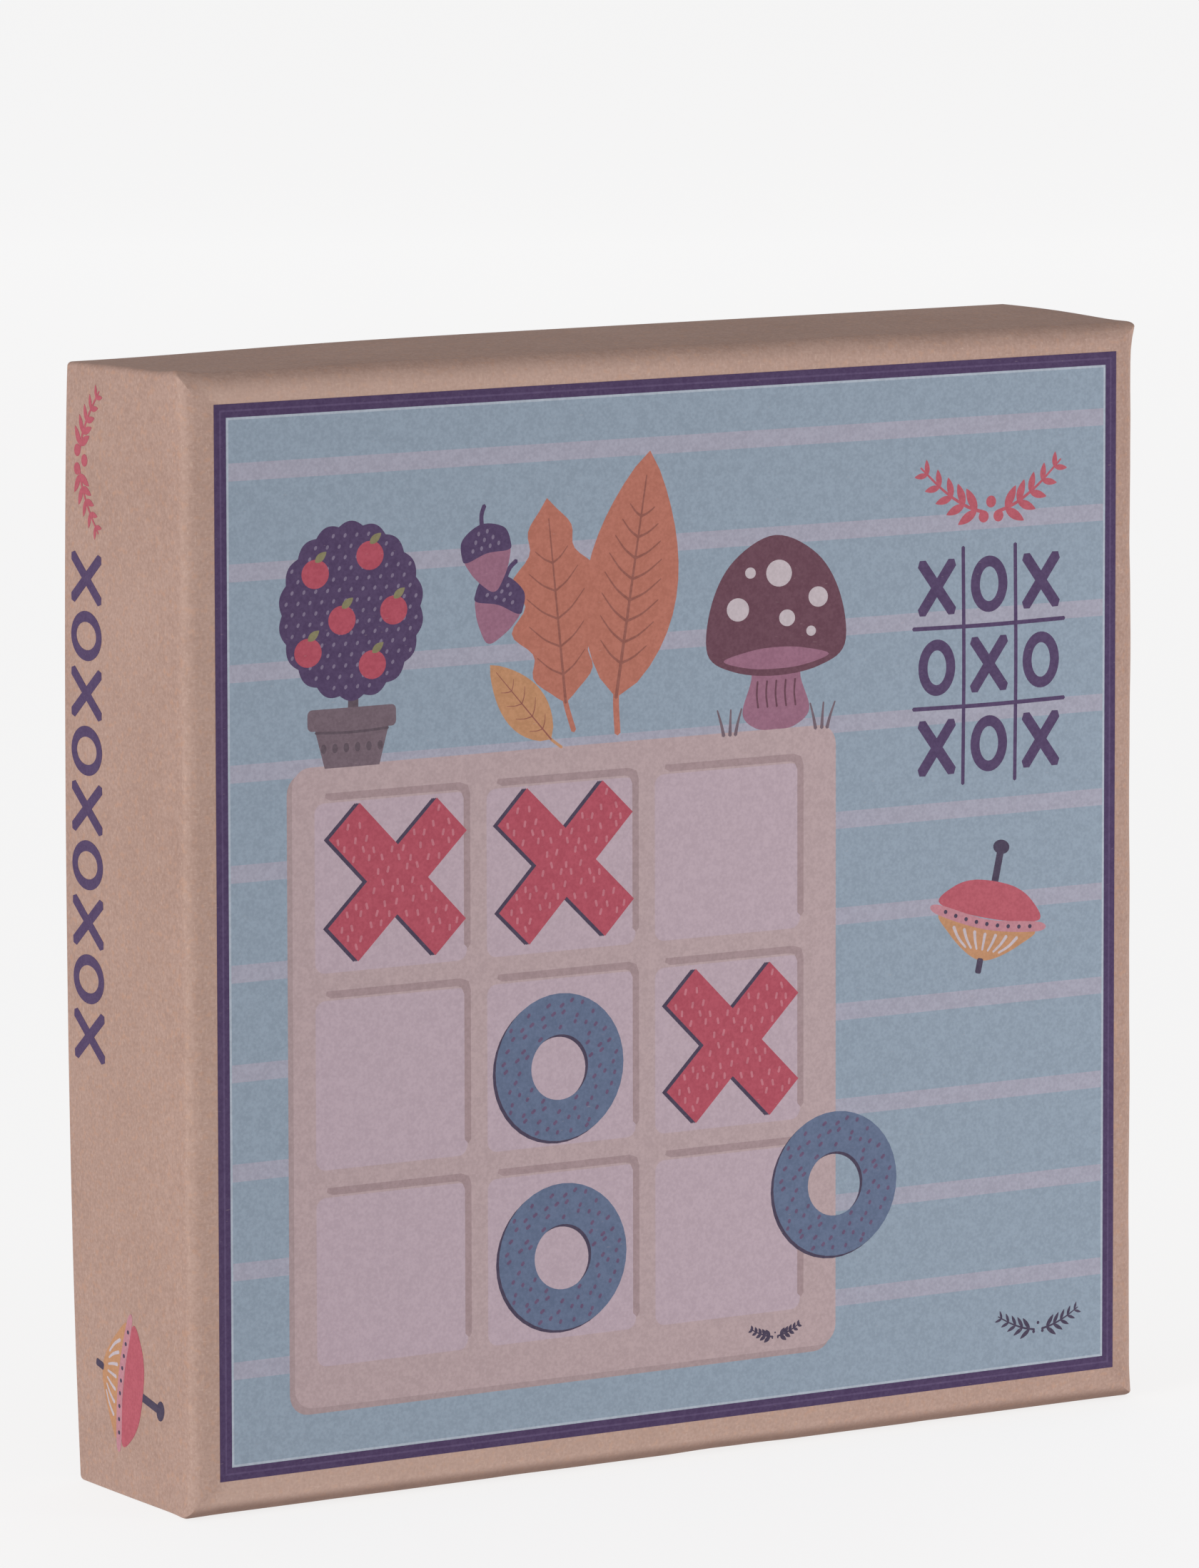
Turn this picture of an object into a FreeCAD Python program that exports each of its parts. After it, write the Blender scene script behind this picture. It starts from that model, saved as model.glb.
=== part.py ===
# Boxed wooden tic-tac-toe set: a full-depth kraft lid over a tray, with the game inside.
# The box stands upright on the lid's bottom wall. X is its width, Z its height, and its printed
# front faces -Y. The origin is on the floor, in the middle of the footprint.
# Depths are counted forward, towards -Y, from the box's middle plane.
import FreeCAD, Part
import os
import re
import Sketcher

doc = FreeCAD.newDocument("TicTacToeSet")

# Sizes that can be set by themselves, in millimetres.
DRIVING_SIZES = {
    "box_width": 210,
    "box_height": 210,
    "box_depth": 44.5,
    "lid_board": 1.6,         # thickness of the lid's folded board
    "tray_board": 1.6,        # thickness of the tray's folded board
    "insert_card": 1.0,       # thickness of the insert's card
    "front_fold": 3.0,        # radius of the lid's front folds
    "wall_fold": 1.2,         # radius of the folds between two walls
    "tray_fold": 2.0,         # radius of the tray's back folds
    "rim_round": 0.7,         # rounding of the lid's open rim
    "slide_gap": 0.4,         # between the lid's walls and the tray's
    "rim_gap": 1.5,           # between the tray's rim and the lid's front panel
    "head_gap": 1.0,          # between the playing pieces and the lid's front panel
    "seat_gap": 0.3,          # between the insert and the tray's walls
    "insert_margin": 6.6,     # card beside and between the window and the well
    "window_gap": 0.5,        # between the game board and its window
    "leaflet_gap": 0.2,       # in front of the leaflet and behind it
    "leaflet_sheet": 0.8,     # thickness of the folded leaflet
    "leaflet_inset": 9.0,     # between the leaflet's edge and the window's
    "board_rim": 8.7,         # wood around the nine recesses
    "board_bar": 5.7,         # wood between two recesses
    "board_corner": 4.5,      # radius of the game board's corners
    "board_round": 1.2,       # rounding of the game board's outer edges
    "board_stand_out": 3.0,   # how far the game board stands out of the insert
    "back_layer": 5.0,        # thickness of the game board's back layer
    "recess_corner": 2.4,     # radius of a recess's corners
    "piece_gap": 1.7,         # around a playing piece in its recess
    "well_gap": 1.5,          # around the spare piece in its well
    "piece_thickness": 12.0,
    "piece_stand_out": 3.0,   # how far a playing piece stands out of its recess
    "arm_width": 10.4,        # width of an X's arm
    "ring_bore": 15.0,        # diameter of an O's hole
    "piece_round": 1.0,       # rounding of a playing piece's edges
}

# Sizes and places that follow from them.
FITTED_SIZES = {
    # The box's shells, one inside the other.
    "tray_width": "box_width - 2 * lid_board - 2 * slide_gap",
    "tray_height": "box_height - 2 * lid_board - 2 * slide_gap",
    "inside_width": "tray_width - 2 * tray_board",
    "inside_height": "tray_height - 2 * tray_board",
    "middle_height": "box_height / 2",
    # Three recesses and the well lie side by side in the width that the card and the wood leave.
    "card_and_gaps": "3 * insert_margin + 2 * window_gap + 6 * piece_gap + 2 * well_gap",
    "wood_between": "2 * board_rim + 2 * board_bar",
    "piece_span": "(inside_width - card_and_gaps - wood_between) / 4",
    "recess_side": "piece_span + 2 * piece_gap",
    "recess_pitch": "recess_side + board_bar",
    "board_side": "3 * recess_side + wood_between",
    "window_side": "board_side + 2 * window_gap",
    "leaflet_side": "window_side - 2 * leaflet_inset",
    "well_bore": "piece_span + 2 * well_gap",
    "board_place": "insert_margin + window_side / 2 - inside_width / 2",
    "well_place": "inside_width / 2 - insert_margin - well_bore / 2",
    "insert_width": "inside_width - 2 * seat_gap",
    "insert_height": "inside_height - 2 * seat_gap",
    # A finger notch takes half of the card above or below the window.
    "notch_radius": "(inside_height - window_side) / 4",
    # The two crossed bars of an X, cut square at their ends, span as much as an O.
    "arm_length": "piece_span * sqrt(2) - arm_width",
    # Depths, counted forward from the middle plane.
    "lid_front": "box_depth / 2",
    "lid_inside": "lid_front - lid_board",
    "box_back": "-box_depth / 2",
    "tray_floor": "box_back + tray_board",
    "tray_rim": "lid_inside - rim_gap",
    "piece_front": "lid_inside - head_gap",
    "recess_floor": "piece_front - piece_thickness",
    "board_front": "piece_front - piece_stand_out",
    "board_rear": "recess_floor - back_layer",
    "leaflet_front": "board_rear - leaflet_gap",
    "leaflet_rear": "leaflet_front - leaflet_sheet",
    "window_floor": "leaflet_rear - leaflet_gap",
    "insert_front": "board_front - board_stand_out",
    "well_floor": "insert_front + piece_stand_out - piece_thickness",
}


def linked(formula):
    """Write a formula of size names as an expression that points at the two sheets."""
    def with_sheet(match):
        name = match.group(0)
        if name in DRIVING_SIZES:
            return "Sizes." + name
        if name in FITTED_SIZES:
            return "Fits." + name
        return name
    return re.sub(r"[a-z_]+", with_sheet, formula)


def fill_sheet(label, entries):
    sheet = doc.addObject("Spreadsheet::Sheet", label)
    for row, (name, content) in enumerate(entries.items(), start=1):
        sheet.set(f"A{row}", name)
        sheet.set(f"B{row}", content)
        sheet.setAlias(f"B{row}", name)
    doc.recompute()
    return sheet


sizes = fill_sheet("Sizes", {name: str(value) for name, value in DRIVING_SIZES.items()})
fits = fill_sheet("Fits", {name: "=" + linked(formula) for name, formula in FITTED_SIZES.items()})


def value_of(formula):
    """The formula's present value, used only to draw a sketch near its final size."""
    return float(sizes.evalExpression(linked(formula).replace("Sizes.", "")))


# ---- Ways of making that the pieces share ----------------------------------------------------

def new_body(label):
    body = doc.addObject("PartDesign::Body", label)
    body.Label = label
    return body


def front_sketch(body, name, depth, across="0", up="0"):
    """An empty sketch parallel to the box's front, its origin at (across, up) and at this depth."""
    sketch = body.newObject("Sketcher::SketchObject", name)
    planes = [feature for feature in body.Origin.OriginFeatures if feature.Role == "XZ_Plane"]
    sketch.AttachmentSupport = [(planes[0], "")]
    sketch.MapMode = "FlatFace"
    sketch.setExpression("AttachmentOffset.Base.x", linked(across))
    sketch.setExpression("AttachmentOffset.Base.y", linked(up))
    sketch.setExpression("AttachmentOffset.Base.z", linked(depth))
    return sketch


def point(across, up):
    return FreeCAD.Vector(across, up, 0)


def bind_size(sketch, constraint, name, formula):
    index = sketch.addConstraint(constraint)
    sketch.renameConstraint(index, name)
    sketch.setExpression("Constraints." + name, linked(formula))


def draw_rectangle(sketch, width, height):
    """A rectangle round the sketch's origin."""
    half_width = value_of(width) / 2
    half_height = value_of(height) / 2
    corners = [
        point(-half_width, -half_height),
        point(half_width, -half_height),
        point(half_width, half_height),
        point(-half_width, half_height),
    ]
    for side in range(4):
        sketch.addGeometry(Part.LineSegment(corners[side], corners[(side + 1) % 4]), False)
    for side in range(4):
        sketch.addConstraint(Sketcher.Constraint("Coincident", side, 2, (side + 1) % 4, 1))
    for side in (0, 2):
        sketch.addConstraint(Sketcher.Constraint("Horizontal", side))
    for side in (1, 3):
        sketch.addConstraint(Sketcher.Constraint("Vertical", side))
    sketch.addConstraint(Sketcher.Constraint("Symmetric", 0, 1, 2, 1, -1, 1))
    bind_size(sketch, Sketcher.Constraint("DistanceX", 0, 1, 0, 2, 2 * half_width), "width", width)
    bind_size(sketch, Sketcher.Constraint("DistanceY", 1, 1, 1, 2, 2 * half_height), "height", height)


def draw_circle(sketch, diameter):
    """A circle round the sketch's origin."""
    radius = value_of(diameter) / 2
    circle = Part.Circle(point(0, 0), FreeCAD.Vector(0, 0, 1), radius)
    sketch.addGeometry(circle, False)
    sketch.addConstraint(Sketcher.Constraint("Coincident", 0, 3, -1, 1))
    bind_size(sketch, Sketcher.Constraint("Diameter", 0, 2 * radius), "diameter", diameter)


def pad(body, name, sketch, rear, front):
    """Add material from the sketch, which lies at the rear depth, up to the front depth."""
    feature = body.newObject("PartDesign::Pad", name)
    feature.Profile = sketch
    feature.setExpression("Length", linked(f"({front}) - ({rear})"))
    doc.recompute()
    return feature


def pocket(body, name, sketch, front, rear):
    """Remove material from the sketch, which lies at the front depth, back to the rear depth."""
    before = body.Shape.Volume
    feature = body.newObject("PartDesign::Pocket", name)
    feature.Profile = sketch
    feature.setExpression("Length", linked(f"({front}) - ({rear})"))
    doc.recompute()
    if not body.Shape.Volume < before:
        raise RuntimeError(f"{body.Label}: {name} removes nothing")
    return feature


def block(body, name, rear, front, width, height, across="0", up="0"):
    sketch = front_sketch(body, name + "_outline", rear, across, up)
    draw_rectangle(sketch, width, height)
    return pad(body, name, sketch, rear, front)


def disc(body, name, rear, front, diameter, across="0", up="0"):
    sketch = front_sketch(body, name + "_outline", rear, across, up)
    draw_circle(sketch, diameter)
    return pad(body, name, sketch, rear, front)


def square_cut(body, name, front, rear, width, height, across="0", up="0"):
    sketch = front_sketch(body, name + "_outline", front, across, up)
    draw_rectangle(sketch, width, height)
    return pocket(body, name, sketch, front, rear)


def round_cut(body, name, front, rear, diameter, across="0", up="0"):
    sketch = front_sketch(body, name + "_outline", front, across, up)
    draw_circle(sketch, diameter)
    return pocket(body, name, sketch, front, rear)


def round_edges(body, name, radius, wanted):
    """Round the edges of the body's last feature that the test picks out."""
    tip = body.Tip
    edges = tip.Shape.Edges
    names = [f"Edge{number}" for number, edge in enumerate(edges, start=1) if wanted(edge)]
    feature = body.newObject("PartDesign::Fillet", name)
    feature.Base = (tip, names)
    feature.setExpression("Radius", linked(radius))
    doc.recompute()
    return feature


TOUCH = 1e-4


def runs_forward(edge):
    """Whether a straight edge runs along Y."""
    first = edge.Vertexes[0].Point
    last = edge.Vertexes[-1].Point
    return abs(first.x - last.x) < TOUCH and abs(first.z - last.z) < TOUCH and len(edge.Vertexes) == 2


def lies_at(edge, depth):
    """Whether the whole edge lies at this depth."""
    box = edge.BoundBox
    return abs(-box.YMin - depth) < TOUCH and abs(-box.YMax - depth) < TOUCH


# ---- Lid ---------------------------------------------------------------------------------------
# One piece of kraft board folded into a full-depth lid, open at the back. Its front folds are
# soft and wide, the folds between two walls are tighter, and its rim is a folded edge.

def make_lid():
    body = new_body("lid")
    block(body, "Shell", "box_back", "lid_front", "box_width", "box_height", up="middle_height")
    round_edges(body, "WallFolds", "wall_fold", runs_forward)
    front = value_of("lid_front")
    round_edges(body, "FrontFolds", "front_fold", lambda edge: lies_at(edge, front))
    back = value_of("box_back")
    round_edges(body, "Rim", "rim_round", lambda edge: lies_at(edge, back))
    square_cut(body, "Cavity", "lid_inside", "box_back", "box_width - 2 * lid_board",
               "box_height - 2 * lid_board", up="middle_height")
    inside = value_of("lid_inside")
    round_edges(body, "InnerFolds", "front_fold - lid_board", lambda edge: lies_at(edge, inside))
    return body


# ---- Tray --------------------------------------------------------------------------------------
# A second shell of folded board that slides into the lid. Its back panel lies flush with the
# lid's rim, and its walls stop short of the lid's front panel.

def make_tray():
    body = new_body("tray")
    block(body, "Shell", "box_back", "tray_rim", "tray_width", "tray_height", up="middle_height")
    round_edges(body, "WallFolds", "wall_fold", runs_forward)
    back = value_of("box_back")
    round_edges(body, "BackFolds", "tray_fold", lambda edge: lies_at(edge, back))
    square_cut(body, "Cavity", "tray_rim", "tray_floor", "inside_width", "inside_height",
               up="middle_height")
    return body


# ---- Insert ------------------------------------------------------------------------------------
# A folded card platform, glued to the tray's floor by its four side walls. A square window with
# a floor holds the game board, a round well beside it holds the spare piece, and two finger
# notches let the board be lifted out.

def make_insert():
    body = new_body("insert")
    block(body, "Platform", "tray_floor", "insert_front", "insert_width", "insert_height",
          up="middle_height")
    square_cut(body, "Underside", "insert_front - insert_card", "tray_floor",
               "insert_width - 2 * insert_card", "insert_height - 2 * insert_card",
               up="middle_height")
    block(body, "WindowCup", "window_floor - insert_card", "insert_front",
          "window_side + 2 * insert_card", "window_side + 2 * insert_card",
          across="board_place", up="middle_height")
    disc(body, "WellCup", "well_floor - insert_card", "insert_front", "well_bore + 2 * insert_card",
         across="well_place", up="middle_height")
    square_cut(body, "Window", "insert_front", "window_floor", "window_side", "window_side",
               across="board_place", up="middle_height")
    round_cut(body, "Well", "insert_front", "well_floor", "well_bore",
              across="well_place", up="middle_height")
    for name, side in (("LowerNotch", "-"), ("UpperNotch", "+")):
        round_cut(body, name, "insert_front", "window_floor", "2 * notch_radius",
                  across="board_place", up=f"middle_height {side} window_side / 2")
    return body


# ---- Leaflet -----------------------------------------------------------------------------------
# The folded rules, a square of paper that lies in the window behind the game board.

def make_leaflet():
    body = new_body("leaflet")
    block(body, "Sheets", "leaflet_rear", "leaflet_front", "leaflet_side", "leaflet_side",
          across="board_place", up="middle_height")
    return body


# ---- Game board --------------------------------------------------------------------------------
# Two layers of wood glued face to face: a plain back, and a front with nine square recesses cut
# through it, three by three.

def make_board_back():
    body = new_body("board_back")
    block(body, "Panel", "board_rear", "recess_floor", "board_side", "board_side",
          across="board_place", up="middle_height")
    round_edges(body, "Corners", "board_corner", runs_forward)
    rear = value_of("board_rear")
    round_edges(body, "RearEdge", "board_round", lambda edge: lies_at(edge, rear))
    return body


def make_board_grid():
    body = new_body("board_grid")
    block(body, "Panel", "recess_floor", "board_front", "board_side", "board_side",
          across="board_place", up="middle_height")
    round_edges(body, "Corners", "board_corner", runs_forward)
    front = value_of("board_front")
    round_edges(body, "FrontEdge", "board_round", lambda edge: lies_at(edge, front))
    for row in (-1, 0, 1):
        for column in (-1, 0, 1):
            name = f"Recess_{row + 2}_{column + 2}"
            square_cut(body, name, "board_front", "recess_floor", "recess_side", "recess_side",
                       across=f"board_place + {column} * recess_pitch",
                       up=f"middle_height + {row} * recess_pitch")
    outside = value_of("board_side") / 2 - value_of("board_corner") - TOUCH
    centre = FreeCAD.Vector(value_of("board_place"), 0, value_of("middle_height"))

    def in_recess(edge):
        across = abs(edge.CenterOfMass.x - centre.x)
        up = abs(edge.CenterOfMass.z - centre.z)
        return runs_forward(edge) and max(across, up) < outside
    round_edges(body, "RecessCorners", "recess_corner", in_recess)
    return body


# ---- Playing pieces ----------------------------------------------------------------------------
# Five X and five O pieces of painted wood. Nine lie loose in the recesses, the X pieces in the
# corners and the middle, and the fifth O lies in the insert's well. Each is drawn round its own
# origin, in the middle of its rear face.

def place_piece(body, across, up, rear):
    body.setExpression("Placement.Base.x", linked(across))
    body.setExpression("Placement.Base.y", linked(f"-({rear})"))
    body.setExpression("Placement.Base.z", linked(up))
    doc.recompute()


def round_faces(body, name):
    """Round the edges of a playing piece's front and rear faces."""
    front = value_of("piece_thickness")
    round_edges(body, name, "piece_round", lambda edge: lies_at(edge, 0) or lies_at(edge, front))


def make_cross(label):
    """Two crossed bars. The body is turned so that they lie along the diagonals."""
    body = new_body(label)
    block(body, "FirstArm", "0", "piece_thickness", "arm_length", "arm_width")
    block(body, "SecondArm", "0", "piece_thickness", "arm_width", "arm_length")
    reach = value_of("arm_length") / 2

    def on_arm_end(edge):
        middle = edge.CenterOfMass
        return runs_forward(edge) and max(abs(middle.x), abs(middle.z)) > reach - TOUCH
    round_edges(body, "ArmCorners", "piece_round", on_arm_end)
    round_faces(body, "Faces")
    body.Placement.Rotation = FreeCAD.Rotation(FreeCAD.Vector(0, 1, 0), 45)
    return body


def make_ring(label):
    body = new_body(label)
    disc(body, "Disc", "0", "piece_thickness", "piece_span")
    round_cut(body, "Bore", "piece_thickness", "0", "ring_bore")
    round_faces(body, "Faces")
    return body


def make_pieces():
    """The nine places are taken row by row from the top left, X and O by turns."""
    pieces = []
    makers = {"cross": make_cross, "ring": make_ring}
    counts = {"cross": 0, "ring": 0}
    turn = 0
    for row in (1, 0, -1):
        for column in (-1, 0, 1):
            kind = ("cross", "ring")[turn % 2]
            turn += 1
            counts[kind] += 1
            body = makers[kind](f"{kind}_{counts[kind]}")
            place_piece(body, f"board_place + {column} * recess_pitch",
                        f"middle_height + {row} * recess_pitch", "recess_floor")
            pieces.append(body)
    spare = make_ring(f"ring_{counts['ring'] + 1}")
    place_piece(spare, "well_place", "middle_height", "well_floor")
    pieces.append(spare)
    return pieces


# ---- Build, check and write --------------------------------------------------------------------

bodies = [make_lid(), make_tray(), make_insert(), make_leaflet(), make_board_back(), make_board_grid()]
bodies += make_pieces()
doc.recompute()

for item in doc.Objects:
    if "Invalid" in item.State or "Error" in item.State:
        raise RuntimeError(f"{item.Label} failed: {item.State}")
for body in bodies:
    if body.Shape.isNull() or not body.Shape.isValid() or len(body.Shape.Solids) != 1:
        raise RuntimeError(f"{body.Label} isn't one valid solid")

os.makedirs("parts", exist_ok=True)
for body in bodies:
    body.Shape.exportStep(f"parts/{body.Label}.step")
    box = body.Shape.BoundBox
    print(f"{body.Label}: x {box.XMin:.2f} {box.XMax:.2f}  y {box.YMin:.2f} {box.YMax:.2f}  "
          f"z {box.ZMin:.2f} {box.ZMax:.2f}  volume {body.Shape.Volume:.0f}")
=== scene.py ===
import math

import bmesh
import bpy
import numpy as np
from mathutils import Matrix, Vector, geometry, noise


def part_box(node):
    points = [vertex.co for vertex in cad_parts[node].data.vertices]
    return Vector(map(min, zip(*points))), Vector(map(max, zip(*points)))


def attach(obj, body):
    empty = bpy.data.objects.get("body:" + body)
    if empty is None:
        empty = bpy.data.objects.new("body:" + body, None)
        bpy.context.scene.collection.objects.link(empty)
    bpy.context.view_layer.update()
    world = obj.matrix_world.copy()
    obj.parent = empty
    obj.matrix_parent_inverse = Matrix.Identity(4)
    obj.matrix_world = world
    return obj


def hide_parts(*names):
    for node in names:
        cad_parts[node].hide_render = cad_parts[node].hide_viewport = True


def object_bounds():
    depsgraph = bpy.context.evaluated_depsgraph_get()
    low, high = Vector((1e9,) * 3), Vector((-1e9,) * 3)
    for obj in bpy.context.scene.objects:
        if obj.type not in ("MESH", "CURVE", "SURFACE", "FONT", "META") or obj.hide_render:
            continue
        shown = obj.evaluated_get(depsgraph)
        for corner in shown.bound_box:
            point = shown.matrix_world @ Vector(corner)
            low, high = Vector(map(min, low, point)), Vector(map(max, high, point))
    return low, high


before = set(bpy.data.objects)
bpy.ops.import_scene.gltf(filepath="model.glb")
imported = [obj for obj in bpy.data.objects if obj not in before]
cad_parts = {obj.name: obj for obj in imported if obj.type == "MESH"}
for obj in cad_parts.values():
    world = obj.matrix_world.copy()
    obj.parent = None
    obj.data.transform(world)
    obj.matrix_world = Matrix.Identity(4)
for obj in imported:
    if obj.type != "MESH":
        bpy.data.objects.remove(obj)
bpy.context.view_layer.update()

# ---- View ---------------------------------------------------------------------------------------
# The box stands on a pale studio floor that curves up behind it, and is seen from its left and a
# little above. The long lens keeps its edges nearly parallel.

millimetre = 0.001
box_low, box_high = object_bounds()
box_width = box_high.x - box_low.x
box_depth = box_high.y - box_low.y
box_height = box_high.z - box_low.z

view_azimuth = math.radians(-32.32)
view_elevation = math.radians(7.63)
view_roll = math.radians(-0.141)
view_distance = 1.7623
lens_length = 214.65
aim_right = -0.00362
aim_up = 0.02067
aim_back = -0.00225

right_way = Vector((math.cos(view_azimuth), math.sin(view_azimuth), 0))
back_way = Vector((
    math.sin(view_azimuth) * math.cos(view_elevation),
    -math.cos(view_azimuth) * math.cos(view_elevation),
    math.sin(view_elevation),
))
up_way = back_way.cross(right_way)
aim = Vector((0, aim_back, box_height / 2)) + right_way * aim_right + up_way * aim_up
rolled_right = right_way * math.cos(view_roll) + up_way * math.sin(view_roll)
rolled_up = up_way * math.cos(view_roll) - right_way * math.sin(view_roll)
turn = Matrix((rolled_right, rolled_up, back_way)).transposed()

camera = bpy.data.objects.new("camera", bpy.data.cameras.new("camera"))
camera.data.lens = lens_length
camera.data.clip_start = 0.05
camera.data.clip_end = 30
camera.matrix_world = Matrix.Translation(aim + back_way * view_distance) @ turn.to_4x4()
bpy.context.scene.collection.objects.link(camera)
bpy.context.scene.camera = camera

# ---- Studio -------------------------------------------------------------------------------------
# A pale paper sweep: a floor that curves up into a wall behind the box. It glows a little, as
# paper on a light table does, so that it stays even, and the box leaves only a faint shadow.


def display(red, green, blue):
    """The linear colour of a screen colour given from 0 to 255."""
    def linear(level):
        share = level / 255
        if share <= 0.04045:
            return share / 12.92
        return ((share + 0.055) / 1.055) ** 2.4
    return (linear(red), linear(green), linear(blue), 1.0)


def new_piece(name, mesh):
    piece = bpy.data.objects.new(name, mesh)
    bpy.context.scene.collection.objects.link(piece)
    return piece


def give_finish(name, material):
    """Put a material on a part that keeps its drawn shape."""
    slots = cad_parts[name].data.materials
    slots.clear()
    slots.append(material)


class Reading:
    """A number in a finish's node tree. Sums written with it add the Math nodes that they need."""

    def __init__(self, finish, socket):
        self.finish = finish
        self.socket = socket

    def reckon(self, operation, first, second=0.0):
        return self.finish.node("ShaderNodeMath", {"operation": operation}, {0: first, 1: second})

    def __add__(self, other):
        return self.reckon("ADD", self, other)

    def __radd__(self, other):
        return self.reckon("ADD", other, self)

    def __sub__(self, other):
        return self.reckon("SUBTRACT", self, other)

    def __rsub__(self, other):
        return self.reckon("SUBTRACT", other, self)

    def __mul__(self, other):
        return self.reckon("MULTIPLY", self, other)

    def __rmul__(self, other):
        return self.reckon("MULTIPLY", other, self)

    def __truediv__(self, other):
        return self.reckon("DIVIDE", self, other)

    def __abs__(self):
        return self.reckon("ABSOLUTE", self)

    def whole(self):
        return self.reckon("FLOOR", self)

    def wave(self):
        return self.reckon("SINE", self)


class Finish:
    """A material in the making. The node method adds every node; the rest are words for its uses."""

    def __init__(self, name, roughness=0.8, specular=0.3):
        self.material = bpy.data.materials.new(name)
        self.material.use_nodes = True
        self.nodes = self.material.node_tree.nodes
        self.links = self.material.node_tree.links
        self.shader = self.nodes["Principled BSDF"]
        self.shader.inputs["Roughness"].default_value = roughness
        self.shader.inputs["Specular IOR Level"].default_value = specular

    def node(self, kind, settings, inputs, output=0):
        """Add a node, set it up, fill its sockets with values or readings, and read one output."""
        made = self.nodes.new(kind)
        for setting, value in settings.items():
            setattr(made, setting, value)
        for socket, value in inputs.items():
            self.fill(made.inputs[socket], value)
        return Reading(self, made.outputs[output])

    def fill(self, socket, value):
        if isinstance(value, Reading):
            self.links.new(value.socket, socket)
        else:
            socket.default_value = value

    def place(self):
        """Where a point lies in the piece's own frame, in metres."""
        return self.node("ShaderNodeTexCoord", {}, {}, "Object")

    def along(self, axis):
        """One coordinate of that place."""
        return self.node("ShaderNodeSeparateXYZ", {}, {"Vector": self.place()}, axis)

    def facing(self, axis):
        """How far the surface faces along an axis, from -1 to 1."""
        normal = self.node("ShaderNodeNewGeometry", {}, {}, "Normal")
        return self.node("ShaderNodeSeparateXYZ", {}, {"Vector": normal}, axis)

    def edges(self, radius):
        """1 on sharp edges and 0 on flat faces, fading over about this radius."""
        flat = self.node("ShaderNodeNewGeometry", {}, {}, "Normal")
        rounded = self.node("ShaderNodeBevel", {"samples": 4}, {"Radius": radius})
        dot_product = {"operation": "DOT_PRODUCT"}
        alike = self.node("ShaderNodeVectorMath", dot_product, {0: flat, 1: rounded}, "Value")
        return self.ramp(alike, 0.97, 0.80)

    def cloud(self, size, detail=2.0, stretch=(1, 1, 1)):
        """Noise from 0 to 1, with lumps about this size in metres, drawn out along an axis."""
        scale = [1 / (size * part) for part in stretch]
        spot = self.node("ShaderNodeMapping", {}, {"Vector": self.place(), "Scale": scale})
        inputs = {"Vector": spot, "Scale": 1.0, "Detail": detail}
        return self.node("ShaderNodeTexNoise", {}, inputs, "Fac")

    def ramp(self, reading, low, high):
        """0 below low, 1 above high, and smooth between."""
        inputs = {"Value": reading, "From Min": low, "From Max": high}
        return self.node("ShaderNodeMapRange", {"interpolation_type": "SMOOTHSTEP"}, inputs)

    def mix(self, share, first, second):
        """A colour between two others."""
        settings = {"data_type": "RGBA"}
        return self.node("ShaderNodeMix", settings, {0: share, 6: first, 7: second}, 2)

    def bump(self, height, distance, strength=1.0, normal=None):
        inputs = {"Height": height, "Distance": distance, "Strength": strength}
        if normal is not None:
            inputs["Normal"] = normal
        return self.node("ShaderNodeBump", {}, inputs)

    def wear(self, **surface):
        """Feed what changes over the surface to the shader, and hand over the material."""
        for socket, value in surface.items():
            self.fill(self.shader.inputs[socket.replace("_", " ")], value)
        return self.material


floor_reach = 3.0
wall_bend = 0.8
wall_top = 3.5
bend_steps = 24
paper_white = display(245, 245, 245)
paper_glow = 0.86
paper_shade = (0.20, 0.20, 0.20, 1)
room_white = (1.0, 0.966, 0.962, 1)
room_glow = 0.44

sweep = bmesh.new()
outline = [(-floor_reach, 0.0), (floor_reach, 0.0)]
for step in range(1, bend_steps + 1):
    angle = math.pi / 2 * step / bend_steps
    outline.append((floor_reach + wall_bend * math.sin(angle), wall_bend * (1 - math.cos(angle))))
outline.append((floor_reach + wall_bend, wall_top))
away_way = Vector((-back_way.x, -back_way.y, 0)).normalized()
rows = []
for away, up in outline:
    middle = away_way * away + Vector((0, 0, up))
    rows.append([sweep.verts.new(middle + right_way * side * floor_reach) for side in (-1, 1)])
for near, far in zip(rows, rows[1:]):
    sweep.faces.new((near[0], near[1], far[1], far[0]))
sweep_mesh = bpy.data.meshes.new("paper_sweep")
sweep.to_mesh(sweep_mesh)
for face in sweep_mesh.polygons:
    face.use_smooth = True
paper_sweep = new_piece("paper_sweep", sweep_mesh)
sweep_finish = Finish("sweep_paper", roughness=0.95, specular=0.1)
sweep_finish.shader.inputs["Base Color"].default_value = paper_shade
sweep_finish.shader.inputs["Emission Color"].default_value = paper_white
sweep_finish.shader.inputs["Emission Strength"].default_value = paper_glow
sweep_mesh.materials.append(sweep_finish.material)

world = bpy.data.worlds.new("studio")
world.use_nodes = True
world.node_tree.nodes["Background"].inputs["Color"].default_value = room_white
world.node_tree.nodes["Background"].inputs["Strength"].default_value = room_glow
bpy.context.scene.world = world
bpy.context.scene.view_settings.view_transform = "Standard"


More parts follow.
